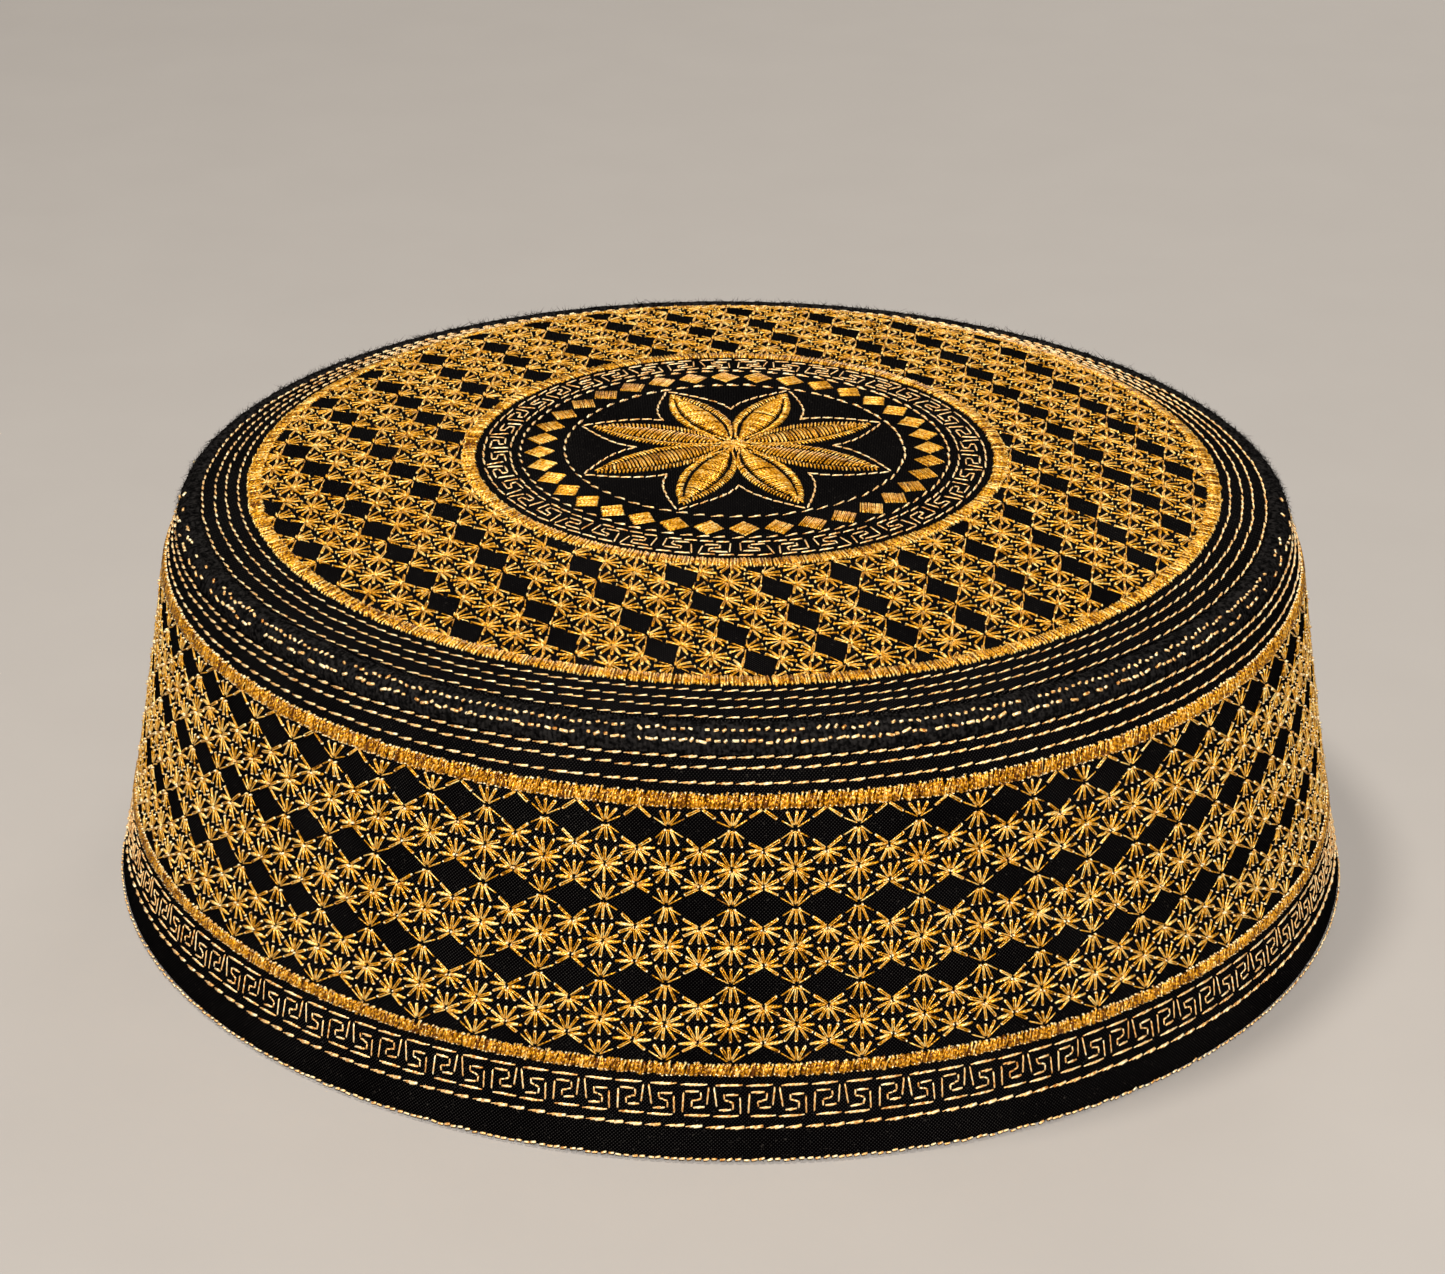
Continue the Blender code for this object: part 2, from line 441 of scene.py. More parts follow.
def turn(name, rows, sides, closed=True):
    """A circle extruded through (radius, height) rows, its last ring joined to its first."""
    deselect()
    rows = [(float(radius), float(height)) for radius, height in rows]
    radius, height = rows[0]
    bpy.ops.mesh.primitive_circle_add(vertices=sides, radius=radius, location=(0, 0, 0))
    made = begin(name)
    edit_all()
    bpy.ops.transform.translate(value=(0, 0, height))
    for new_radius, new_height in rows[1:] + (rows[:1] if closed else []):
        bpy.ops.mesh.extrude_region_move(
            TRANSFORM_OT_translate={"value": (0, 0, new_height - height)})
        grow = new_radius / radius
        bpy.ops.transform.resize(value=(grow, grow, 1), center_override=(0, 0, new_height))
        radius, height = new_radius, new_height
    bpy.ops.mesh.select_all(action="SELECT")
    bpy.ops.mesh.remove_doubles(threshold=0.00002)
    bpy.ops.mesh.normals_make_consistent(inside=False)
    stop_editing()
    bpy.ops.object.shade_smooth_by_angle(angle=math.radians(60))
    return made


def rounded(corner, start, end, radius, steps=5):
    """Rows round a corner of a section, from a start angle to an end angle in degrees."""
    turns = np.radians(np.linspace(start, end, steps))
    return [(corner[0] + radius * math.cos(t), corner[1] + radius * math.sin(t)) for t in turns]


SEAM_GAP = 0.0003
BAND_TOP = SHOULDER - CLOTH - SEAM_GAP
HALF = CLOTH / 2
outer_heights = np.linspace(HALF, BAND_TOP - HALF, 26)
inner_heights = np.linspace(BAND_TOP - CLOTH - 0.001, HALF, 12)
band_rows = [(wall_radius(h), h) for h in outer_heights]
band_rows += rounded((wall_radius(BAND_TOP) - HALF, BAND_TOP - HALF), 20, 90, HALF)
band_rows += rounded((CROWN_RADIUS - 0.0016, BAND_TOP - HALF + 0.0001), 90, 270, HALF)
band_rows += [(wall_radius(h) - CLOTH, h) for h in inner_heights]
band_rows += rounded((wall_radius(HALF) - HALF, HALF), 200, 340, HALF, 6)
band_cloth = turn("band_cloth", band_rows, sides=240)
settle(band_cloth, band_twill, ["side_band"])
print("band cloth faces:", len(band_cloth.data.polygons))

# %% [markdown]
# The crown is a domed disc. Its section starts near the axis, runs out over the top, round the
# cut edge and back underneath. The two small holes in the middle are then filled.

# %% Crown cloth
crown_radii = np.linspace(0.0006, CROWN_RADIUS - HALF, 28)
crown_rows = [(r, crown_height(r)) for r in crown_radii]
crown_rows += rounded((CROWN_RADIUS - HALF, SHOULDER - HALF), 75, -90, HALF, 7)
crown_rows += [(r, crown_height(r) - CLOTH) for r in crown_radii[::-3]]
crown_cloth = turn("crown_cloth", crown_rows, sides=240, closed=False)
bpy.ops.object.mode_set(mode="EDIT")
bpy.ops.mesh.select_all(action="DESELECT")
bpy.ops.mesh.select_mode(type="EDGE")
bpy.ops.mesh.select_non_manifold()
bpy.ops.mesh.edge_face_add()
bpy.ops.mesh.select_all(action="SELECT")
bpy.ops.mesh.normals_make_consistent(inside=False)
bpy.ops.mesh.select_mode(type="VERT")
stop_editing()
settle(crown_cloth, crown_twill, ["crown_panel"])
print("crown cloth faces:", len(crown_cloth.data.polygons))

# %% [markdown]
# A stitch comes up through the cloth, arches over it and goes down again. It is modelled once,
# from a sphere with four sides that lies along X and is filled out near its ends. With two
# rings of points it has 16 triangles, so it can be copied 46,000 times. A long one has a third
# ring, where it bulges. A bead is the round end that some threads show where they dive, and its
# bright tone is a painted highlight.

# %% One stitch and one fibre
def laid_along_x(name, along=True):
    """The new pattern with its poles on X, or upright."""
    made = begin(name)
    edit_all()
    if along:
        bpy.ops.transform.rotate(value=math.pi / 2, orient_axis="Y", center_override=(0, 0, 0))
    stop_editing()
    return made


def model_stitch(rings, stretch, swell):
    """A sphere along X, with its rings moved towards its poles and widened."""
    deselect()
    bpy.ops.mesh.primitive_uv_sphere_add(segments=4, ring_count=rings, radius=1)
    made = laid_along_x("stitch_pattern")
    for vertex in made.data.vertices:
        if 0.4 < abs(vertex.co.x) < 0.9:
            vertex.co = vertex.co * Vector((stretch, swell, swell))
    return made


def model_point(sides, along):
    """A small cone: a fibre that tapers along X, or a bead whose point faces outwards."""
    deselect()
    bpy.ops.mesh.primitive_cone_add(vertices=sides, radius1=1, radius2=0, depth=2)
    made = laid_along_x("cone_pattern", along)
    tip = max(made.data.vertices, key=lambda v: abs(v.co.x) - abs(v.co.y) - abs(v.co.z))
    if along and tip.co.x < 0:
        for vertex in made.data.vertices:
            vertex.co.x, vertex.co.y = -vertex.co.x, -vertex.co.y
    return made


def template(made):
    """A small mesh as plain arrays: its points, its corners, its faces and its corner UVs."""
    mesh = made.data
    points = np.array([v.co for v in mesh.vertices])
    corners = np.array([corner.vertex_index for corner in mesh.loops])
    starts = np.array([face.loop_start for face in mesh.polygons])
    around = np.arctan2(points[corners, 2], points[corners, 1]) / ROUND
    bpy.data.objects.remove(made)
    return points, corners, starts, around


STITCH = template(model_stitch(3, 1.54, 1.15))
LONG_STITCH = template(model_stitch(4, 1.08, 1.28))
BEAD = template(model_point(5, False))
FIBRE = template(model_point(3, True))
print("points in a stitch, bead and fibre:", len(STITCH[0]), len(BEAD[0]), len(FIBRE[0]))

# %% [markdown]
# Each stitch has a start and an end in the flat pattern. Its points are spread between them,
# laid on the cloth and lifted in an arch whose ends dip below the surface, so it is a closed
# thread and never floats. No hand or machine is exact, so each one is moved, widened and toned
# a little by a seeded random generator. Some get a painted highlight at their ends, most at the
# far end, where the thread dives and turns its end to the light.

# %% Sewing
SEED = 20
DIP = 0.0001  # how deep the ends of a stitch lie in the cloth
BEAD_RISE = 0.0002
chance = np.random.default_rng(SEED)


def strands(start, end, width, rise, tone=0.5, loose=0.00004, spread=0.16, scale=(1, 1),
            tip=0.0):
    """Stitches as arrays. scale is how many metres one unit of each flat coordinate is, and tip is
    the strength of a painted highlight on the stitch's ends.
    """
    start, end = np.asarray(start, float).reshape(-1, 2), np.asarray(end, float).reshape(-1, 2)
    count, scale = len(start), np.array(scale, float)
    start = start + chance.normal(0, loose, (count, 2)) / scale
    end = end + chance.normal(0, loose, (count, 2)) / scale
    return {
        "start": start, "end": end,
        "width": width * chance.normal(1, 0.07, count).clip(0.8, 1.2),
        "rise": np.broadcast_to(rise, count) * chance.normal(1, 0.12, count).clip(0.7, 1.4),
        "tone": np.broadcast_to(tone, count) + chance.normal(0, spread, count),
        "tip": np.full(count, tip),
    }


def joined(*groups):
    return {key: np.concatenate([group[key] for group in groups]) for key in groups[0]}


def bead(start, end, scale=(1, 1), width=0.00044, tone=0.8, length=0.00048, spread=0.22):
    """A bead on the end of each stitch that runs from start to end. Its high tone is a painted
    highlight.
    """
    step = (end - start) * scale
    back = length * (end - start) / np.linalg.norm(step, axis=1, keepdims=True)
    return strands(end - back * 0.7, end + back * 0.3, width, BEAD_RISE, tone, 0.00002, spread,
                   scale)


def chosen(group, keep):
    return {key: values[keep] for key, values in group.items()}


def sew(name, surface, group, finish, shape=STITCH, thick=0.8, free=False,
        reach=0.00013, arch_power=4, replaced=()):
    """One mesh of all the stitches in a group. A free stitch stands up like a hair."""
    points, corners, face_starts, around = shape
    count, each = len(group["start"]), len(points)
    share = (points[:, 0] + 1) / 2
    flat = group["start"][:, None] + (group["end"] - group["start"])[:, None] * share[:, None]
    place, out = surface(flat)
    along = place[:, np.argmax(share)] - place[:, np.argmin(share)]
    length = np.linalg.norm(along, axis=1, keepdims=True)
    along = (along / np.maximum(length, 1e-9))[:, None]
    side = np.cross(out, along)
    side /= np.maximum(np.linalg.norm(side, axis=-1, keepdims=True), 1e-9)
    arch = share**1.2 if free else 1 - np.abs(points[:, 0]) ** arch_power
    lift = -DIP + (group["rise"][:, None] + DIP) * arch
    half = group["width"][:, None] / 2
    spot = place + out * (lift + points[:, 2] * half * thick)[..., None]
    spot = spot + side * (points[:, 1] * half)[..., None] + along * (points[:, 0] * reach)[:, None]
    mesh = bpy.data.meshes.new(name)
    mesh.vertices.add(count * each)
    mesh.vertices.foreach_set("co", spot.astype(np.float32).ravel())
    mesh.loops.add(count * len(corners))
    shifts = np.arange(count)[:, None]
    mesh.loops.foreach_set("vertex_index", (corners + shifts * each).astype(np.int32).ravel())
    mesh.polygons.add(count * len(face_starts))
    mesh.polygons.foreach_set(
        "loop_start", (face_starts + shifts * len(corners)).astype(np.int32).ravel())
    mesh.update(calc_edges=True)
    mesh.shade_smooth()
    tones = mesh.attributes.new("tone", "FLOAT", "POINT")
    # Painted highlight: tip raises the tone at the near end and most at the far tip, with a little
    # painted shade just before that tip.
    tone = group["tone"][:, None] + group["tip"][:, None] * (share**30 + 0.5 * (1 - share) - 0.25)
    tones.data.foreach_set("value", tone.astype(np.float32).ravel())
    uv = np.empty((count, len(corners), 2), np.float32)
    uv[..., 0] = around
    uv[..., 1] = share[corners] * length + chance.random(count)[:, None]
    mesh.uv_layers.new(name="thread").data.foreach_set("uv", uv.ravel())
    made = bpy.data.objects.new(name, mesh)
    bpy.context.scene.collection.objects.link(made)
    triangles = count * (len(corners) - 2 * len(face_starts))
    print(f"{name}: {count} stitches, {triangles} triangles")
    return settle(made, finish, replaced)


print("ready to sew with seed", SEED)

# %% [markdown]
# The lattice is one small cell, repeated. Threads fan out from a pinch at its top, meet in one
# star below it and in two more on the line between two columns, and gather again in the next
# pinch. Diamonds of bare cloth lie between the pinches. The chart gives each thread of half a
# cell in thousandths of the cell's width and height, and its kind: 1 is one strand, 2 is two
# strands side by side, 3 is a thick level thread with a twist like a rope, and 4 is a short
# knot where a star's threads pile up round its middle.

# %% The star lattice's chart
STAR_CELL = (
    # from the pinch, downwards
    (0, 40, 0, 232, 2), (45, 40, 150, 230, 2), (30, 22, 225, 120, 1), (0, 36, 75, 46, 1),
    (35, 26, 78, 34, 4),
    # upper star on the line between columns
    (482, 268, 275, 150, 2), (473, 280, 205, 268, 3), (462, 305, 265, 380, 2),
    (475, 317, 350, 475, 2), (500, 317, 500, 475, 2), (455, 292, 492, 306, 4),
    # star in the middle of the column
    (0, 485, 0, 297, 2), (30, 488, 160, 300, 2), (30, 503, 245, 420, 2), (22, 518, 290, 518, 3),
    (30, 535, 245, 628, 2), (30, 548, 175, 722, 2), (0, 550, 0, 742, 2), (8, 546, 50, 534, 4),
    # lower star on the line between columns
    (500, 714, 500, 535, 2), (478, 714, 348, 535, 2), (466, 734, 280, 654, 2),
    (470, 750, 215, 755, 3), (482, 760, 275, 862, 2), (452, 736, 490, 722, 4),
    # into the next pinch
    (0, 965, 0, 795, 2), (20, 965, 155, 795, 2), (25, 984, 235, 888, 1),
)


def cell_threads():
    """Starts, ends and kinds for a whole cell, mirrored from the chart of its half."""
    rows = []
    for x0, y0, x1, y1, kind in STAR_CELL:
        rows.append((x0, y0, x1, y1, kind))
        if (x0, x1) not in ((0, 0), (500, 500)):
            rows.append((-x0, y0, -x1, y1, kind))
    rows = np.array(rows)
    return rows[:, 0:2] / 1000, rows[:, 2:4] / 1000, rows[:, 4]


def wander(place, scale):
    """A slow drift of the pattern, up to about 0.12 mm, so that no two stars are alike."""
    u, v = (place * scale / MM)[..., 0], (place * scale / MM)[..., 1]
    across = np.sin(0.9 * u + 1.3 * v) + np.sin(0.37 * u - 1.9 * v + 2.0) + np.sin(2.3 * u)
    up = np.sin(1.1 * v - 0.8 * u + 1.0) + np.sin(1.7 * u + 0.6 * v) + np.sin(2.6 * v)
    return place + 0.045 * MM * np.stack([across, up], -1) / scale


def sideways(start, end, scale):
    """For each stitch, the step in the flat pattern that is one metre square to it."""
    step = (end - start) * scale
    square = np.stack([-step[:, 1], step[:, 0]], 1)
    return square / np.linalg.norm(square, axis=1, keepdims=True) / scale


def rope(start, end, width, rise, tone, plies=3, scale=(1, 1), spread=0.18, tapered=False):
    """Each stitch as short plies laid slantwise over one another, thickest in its middle.

    A tapered one starts as a thin tail and is thickest at its end, where a painted highlight makes
    it brightest. In the others every second ply gets a painted highlight, like light on a twisted
    rope.
    """
    square = 0.22 * width * sideways(start, end, np.array(scale, float))
    groups = []
    for ply in range(plies):
        swell = math.sin(math.pi * (ply + 1) / (plies + 1))
        if tapered:
            swell = 1.5 * ply / (plies - 1) - 0.2
        first = start + (end - start) * ply / (plies + 1) - square
        last = start + (end - start) * (ply + 2) / (plies + 1) + square
        # Painted highlight: the thick end of a tapered stitch, and every second ply of the others,
        # get a higher tone.
        shade = tone - 0.1 + 0.2 * (swell if tapered else ply % 2)
        groups.append(strands(first, last, width * (0.42 + 0.36 * swell),
                              rise * (0.6 + 0.5 * swell), shade, 0.00002, spread, scale))
    return joined(*groups)


STAR_WIDTH, STAR_RISE, LEVEL_WIDTH = 0.0002, 0.00027, 0.00054
KNOT_WIDTH, KNOT_RISE, KNOT_TONE = 0.0004, 0.00042, 0.72
PAIR_START, PAIR_END = 0.00009, 0.00013  # from the middle of a pair to each of its strands


def star_threads(start, end, kind, scale, tone):
    """The rays, and apart from them the beads and the knots."""
    scale = np.array(scale, float)
    start, end = wander(start, scale), wander(end, scale)
    single, pair, level, knot = (kind == number for number in (1, 2, 3, 4))
    square = sideways(start[pair], end[pair], scale)
    end = end + chance.normal(0, 0.00009, end.shape) / scale

    def ray(first, last, tip):
        # The tip values paint a highlight on the ends of the rays.
        return strands(first, last, STAR_WIDTH, STAR_RISE, tone, 0.00003, 0.2, scale, tip)

    # Level ropes get a tone 0.16 higher: a painted highlight, where level threads catch the
    # overhead light.
    groups = [rope(start[level], end[level], LEVEL_WIDTH, STAR_RISE, tone + 0.16, 3, scale, 0.25),
              ray(start[single], end[single], 0.5)]
    for sign in (-1, 1):
        groups.append(ray(start[pair] + sign * PAIR_START * square,
                          end[pair] + sign * PAIR_END * square, 0.8))
    knots = strands(start[knot], end[knot], KNOT_WIDTH, KNOT_RISE, KNOT_TONE, 0.00003, 0.2, scale)
    return joined(*groups), joined(bead(start[pair], end[pair], scale), knots)


def repeated(corners, across, down):
    """The threads of the cell, laid out from every corner."""
    starts, ends = [], []
    for corner in corners:
        for shares, laid in ((cell_start, starts), (cell_end, ends)):
            laid.append(corner + shares[:, :1] * across + shares[:, 1:] * down)
    return np.concatenate(starts), np.concatenate(ends), np.tile(cell_kind, len(corners))


cell_start, cell_end, cell_kind = cell_threads()
print("threads and knots in a cell:", len(cell_start))

# %% [markdown]
# On the band the cell is one sixty-fourth of the way round, so it grows with the radius. The
# pinches lie 10.8 mm apart, and the satin borders cut the rows off above and below.

# %% Band lattice
COLUMNS = 64
COLUMN = ROUND / COLUMNS
FIRST_COLUMN = math.radians(0.1)
PINCH_TOP, PERIOD = 0.0464, 0.0108
LATTICE_TOP, LATTICE_FOOT = 0.0492, 0.0141
BAND_SCALE = (0.086, 1.0)


def band_lattice():
    corners = [(FIRST_COLUMN + column * COLUMN, PINCH_TOP - row * PERIOD)
               for column in range(COLUMNS) for row in (-1, 0, 1, 2)]
    start, end, kind = repeated(corners, np.array([COLUMN, 0]), np.array([0, -PERIOD]))
    middle = (start[:, 1] + end[:, 1]) / 2
    keep = (middle < LATTICE_TOP - 0.0003) & (middle > LATTICE_FOOT)
    keep &= np.maximum(start[:, 1], end[:, 1]) < LATTICE_TOP + 0.0006
    return star_threads(start[keep], end[keep], kind[keep], BAND_SCALE, tone=0.46)


band_stars, band_beads = band_lattice()
third = (band_stars["start"][:, 0] / ROUND * 3).astype(int).clip(0, 2)
for part in range(3):
    sew(f"band_star_stitches_{part + 1}", on_band, chosen(band_stars, third == part),
        gold_thread)
sew("band_star_beads", on_band, band_beads, pale_thread, shape=BEAD, reach=0.0)

# %% [markdown]
# On the crown the same cell is laid out as a straight grid, as on cloth in an embroidery frame,
# and turned 25 degrees. Only the part between the two satin rings is kept, and a thread that
# would cross a ring ends under it.

# %% Crown lattice
RING_HALF = 0.00105
OUTER_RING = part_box("crown_ring_outer")[1].x - RING_HALF
INNER_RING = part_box("crown_ring_inner")[1].x - RING_HALF
UNDER_RING = 0.0008  # a thread ends this far from the ring's middle line
GRID_TURN = math.radians(25.3)
GRID_DOWN = PERIOD * 0.981
GRID_ACROSS = 0.00852
GRID_SHIFT = (0.24 - 0.5, -0.38)
GRID_REACH = 11
CUT_STEPS = 20


def crown_lattice():
    across = GRID_ACROSS * np.array([math.sin(GRID_TURN), -math.cos(GRID_TURN)])
    down = GRID_DOWN * np.array([math.cos(GRID_TURN), math.sin(GRID_TURN)])
    cells = range(-GRID_REACH, GRID_REACH + 1)
    corners = [(i + GRID_SHIFT[0]) * across + (j + GRID_SHIFT[1]) * down
               for i in cells for j in cells]
    start, end, kind = repeated(corners, across, down)
    steps = np.linspace(0, 1, CUT_STEPS + 1)
    radius = np.linalg.norm(start[:, None] + (end - start)[:, None] * steps[:, None], axis=2)
    inside = (radius > INNER_RING + UNDER_RING) & (radius < OUTER_RING - UNDER_RING)
    first = np.argmax(inside, axis=1)
    last = CUT_STEPS - np.argmax(inside[:, ::-1], axis=1)
    keep = inside.any(axis=1) & (last - first > 6)
    cut_start = start + (end - start) * steps[first][:, None]
    cut_end = start + (end - start) * steps[last][:, None]
    # Tone 0.34, lower than the band's 0.46 for the same thread, is painted shade on the crown.
    return star_threads(cut_start[keep], cut_end[keep], kind[keep], (1, 1), tone=0.34)


crown_stars, crown_beads = crown_lattice()
left = crown_stars["start"][:, 0] < 0
for part, side in ((1, left), (2, ~left)):
    sew(f"crown_star_stitches_{part}", on_crown, chosen(crown_stars, side), gold_thread)
sew("crown_star_beads", on_crown, crown_beads, gold_thread, shape=BEAD, reach=0.0)

# %% [markdown]
# The raised rings and borders are satin stitch: threads laid side by side, square to the line,
# over a little padding. Their ends are not quite even, so the line looks slightly ragged.

# %% Satin rings and borders
RAGGED = 0.0001


def evenly(count, shift=0.0):
    """Angles at even steps round the cap, moved by a share of a step."""
    return (np.arange(count) + shift) * ROUND / count


def satin_layer(radius, low, high, pitch):
    """Angles round a ring, and the two ends of each thread as offsets from its middle."""
    count = round(ROUND * radius / pitch)
    angle = evenly(count, chance.normal(0, 0.15, count))
    return angle, low + chance.normal(0, RAGGED, count), high + chance.normal(0, RAGGED, count)


def crown_satin(name, radius, node):
    """A layer toned dark as painted shade between the threads, under a bright one whose high tone
    is a painted highlight.
    """
    groups = []
    for low, high, pitch, width, rise, tone in (
        (-0.00095, 0.0007, 0.00062, 0.00074, 0.00018, -0.02),
        (-0.001, 0.001, 0.0005, 0.00031, 0.00044, 0.54),
    ):
        angle, near, far = satin_layer(radius, low, high, pitch)
        lean = chance.normal(0.00008, 0.00008, len(angle)) / radius
        start, end = polar(radius + near, angle), polar(radius + far, angle + lean)
        # tip=0.5 paints a highlight on the threads' ends.
        groups.append(strands(start, end, width, rise, tone, spread=0.22, tip=0.5))
    sew(name, on_crown, joined(*groups), gold_thread, arch_power=3, replaced=[node])
    # Beads on the bright threads' outer ends, toned 0.85 as a painted highlight.
    return bead(start, end, width=0.00032, tone=0.85)


def band_satin(name, node, middle, half):
    """A dense layer toned dark as painted shade between the threads, under two bright ones, of
    which one ends above and one below.
    """
    radius, groups, tips = wall_radius(middle), [], []
    for low, high, pitch, width, rise, tone, lean in (
        (-half, half - 0.0002, 0.00062, 0.00074, 0.00016, -0.02, 0.001),
        (half * 0.05, -half, 0.00056, 0.00029, 0.00038, 0.26, -0.003),
        (-half * 0.1, half, 0.00056, 0.00027, 0.00046, 0.34, 0.004),
    ):
        angle, near, far = satin_layer(radius, low, high, pitch)
        lean = lean + chance.normal(0, 0.0016, len(angle))
        start = np.stack([angle, middle + near], 1)
        end = np.stack([angle + lean, middle + far], 1)
        # tip=0.5 paints a highlight on the threads' ends.
        groups.append(strands(start, end, width, rise, tone, spread=0.24, scale=BAND_SCALE,
                              tip=0.5))
        if rise > 0.0003:
            # Beads on the ends of the raised layers, toned up as a painted highlight.
            tips.append(bead(start, end, BAND_SCALE, width * 1.7, 0.6 + tone, 0.0005))
    sew(name, on_band, joined(*groups), gold_thread, arch_power=3, replaced=[node])
    return joined(*tips)


crown_tips = joined(crown_satin("crown_satin_ring_outer", OUTER_RING, "crown_ring_outer"),
                    crown_satin("crown_satin_ring_inner", INNER_RING, "crown_ring_inner"))
band_tips = joined(band_satin("band_satin_border_upper", "band_border_upper", 0.0501, 0.001),
                   band_satin("band_satin_border_lower", "band_border_lower", 0.013, 0.00085))
sew("crown_satin_beads", on_crown, crown_tips, gold_thread, shape=BEAD, reach=0.0)
sew("band_satin_beads", on_band, band_tips, pale_thread, shape=BEAD, reach=0.0)

# %% [markdown]
# Running stitch is the simplest line in embroidery: a stitch, a short gap, a stitch. Here it
# goes round the cap in many rows, in a paler gold that reads almost white in the light. Each
# stitch starts as a thin tail and swells to a bright end, where a painted highlight raises its
# tone.

# %% Running rows
def crown_row(radius, pitch, length, width=0.00034):
    count = round(ROUND * radius / pitch)
    angle = evenly(count) + chance.random()
    angle = angle + chance.normal(0, 0.00012, count) / radius
    span = (length + chance.normal(0, 0.00012, count)) / radius
    radius = radius + chance.normal(0, 0.00006, count)
    return rope(polar(radius, angle), polar(radius, angle + span), width, rise=0.00022,
                tone=0.36, tapered=True)


def band_row(height, pitch, length, width=0.00038):
    radius = wall_radius(height)
    count = round(ROUND * radius / pitch)
    angle = evenly(count) + chance.random()
    height = height + chance.normal(0, 0.00005, count)
    span = (length + chance.normal(0, 0.00015, count)) / radius
    return rope(np.stack([angle, height], 1), np.stack([angle + span, height + 0.00004], 1),
                width, rise=0.00024, tone=0.38, scale=BAND_SCALE, tapered=True)


CROWN_ROW_RADII = (0.0729, 0.0747, 0.0763, 0.0782)
BAND_ROW_HEIGHTS = (0.0556, 0.0543, 0.0524)
HEM_ROW_HEIGHT = 0.0051
crown_rows_sewn = joined(*[crown_row(r, 0.00216, 0.0017) for r in CROWN_ROW_RADII])
sew("crown_running_rows", on_crown, crown_rows_sewn, pale_thread)
band_rows_sewn = joined(*[band_row(z, 0.0025, 0.0021) for z in BAND_ROW_HEIGHTS],
                        band_row(HEM_ROW_HEIGHT, 0.0027, 0.0023, 0.0005))
sew("band_running_rows", on_band, band_rows_sewn, pale_thread)

# %% [markdown]
# The key pattern is one long line that turns back into itself. It is charted once, as a path in
# thousandths of its width and height, and cut into stitches. Level legs are a thick twisted
# rope and the others one thin thread. The band has 65 turns above the hem, and the crown has 20
# round the flower.

# %% Key pattern
KEY_PATH = (
    (395, 1000), (360, 280), (140, 280), (130, 470), (210, 500), (280, 560), (270, 760),
    (10, 800), (0, 20), (875, 0), (865, 680), (630, 710), (630, 520), (700, 490), (770, 430),
    (760, 210), (525, 210), (468, 1000), (1395, 1000),
)
KEY_RISE, KEY_TONE = 0.0002, 0.4


def path_stitches(path, longest, gap, scale):
    """Cuts each leg of a path into equal stitches, as shares, with small gaps between them."""
    starts, ends = [], []
    path, scale = np.array(path) / 1000, np.array(scale, float)
    for first, last in zip(path, path[1:]):
        length = np.linalg.norm((last - first) * scale)
        count = max(1, round(length / longest))
        cut = min(gap / length / 2, 0.16)
        for number in range(count):
            starts.append(first + (last - first) * (number / count + cut))
            ends.append(first + (last - first) * ((number + 1) / count - cut))
    return np.array(starts), np.array(ends)


def key_threads(lay, longest, size, thick, scale):
    """All turns of the key. lay turns shares of one turn into flat places of every turn."""
    start, end = path_stitches(KEY_PATH, longest, 0.00055, size)
    step = np.abs((end - start) * size)
    level = (step[:, 0] > 2 * step[:, 1]) & (step[:, 0] > 0.0012)
    long = step[:, 0] > 0.0026
    short = level & ~long
    return joined(
        rope(lay(start[long]), lay(end[long]), thick, KEY_RISE, KEY_TONE, 5, scale),
        rope(lay(start[short]), lay(end[short]), thick, KEY_RISE, KEY_TONE, 2, scale),
        strands(lay(start[~level]), lay(end[~level]), 0.00026, 0.00016, KEY_TONE - 0.08, 0.00003,
                scale=scale))


KEY_TURNS = 65
KEY_FOOT, KEY_HEAD, KEY_FIRST = 0.0066, 0.0109, math.radians(1.7)


def band_key(shares):
    turns = np.arange(KEY_TURNS)[:, None, None]
    angle = KEY_FIRST + (shares[..., 0:1] + turns) * ROUND / KEY_TURNS
    height = KEY_FOOT + (KEY_HEAD - KEY_FOOT) * shares[..., 1:2] + 0 * turns
    return np.concatenate([angle, height], -1).reshape(-1, 2)


sew("band_key_stitches", on_band,
    key_threads(band_key, 0.0039, (0.0089, 0.0043), 0.00038, BAND_SCALE), pale_thread)

CROWN_TURNS = 20
CROWN_KEY_STEP = ROUND / CROWN_TURNS
CROWN_KEY_FIRST, CROWN_KEY_LEAD = math.radians(270.5), 0.933
CROWN_KEY_INNER, CROWN_KEY_TALL = 0.033, 0.004


def crown_key(shares):
    turns = np.arange(CROWN_TURNS)[:, None, None]
    angle = CROWN_KEY_FIRST - (shares[..., 0:1] - CROWN_KEY_LEAD + turns) * CROWN_KEY_STEP
    radius = CROWN_KEY_INNER + CROWN_KEY_TALL * shares[..., 1:2] + 0 * turns
    return polar(radius, angle).reshape(-1, 2)


sew("crown_key_stitches", on_crown,
    key_threads(crown_key, 0.0024, (0.011, CROWN_KEY_TALL), 0.00034, (1, 1)), pale_thread)

# %% [markdown]
# Inside the key ring lie 36 small rhombi between two running circles. Each is filled with satin
# threads that run parallel to one pair of its sides, so it flashes as a whole.

# %% Ring of rhombi
RHOMBI, RHOMB_MIDDLE, RHOMB_TALL, RHOMB_WIDE = 36, 0.02875, 0.00235, 0.00228
RHOMB_THREADS, FIRST_RHOMB = 12, 3.0  # threads in each, and the first one's angle in degrees


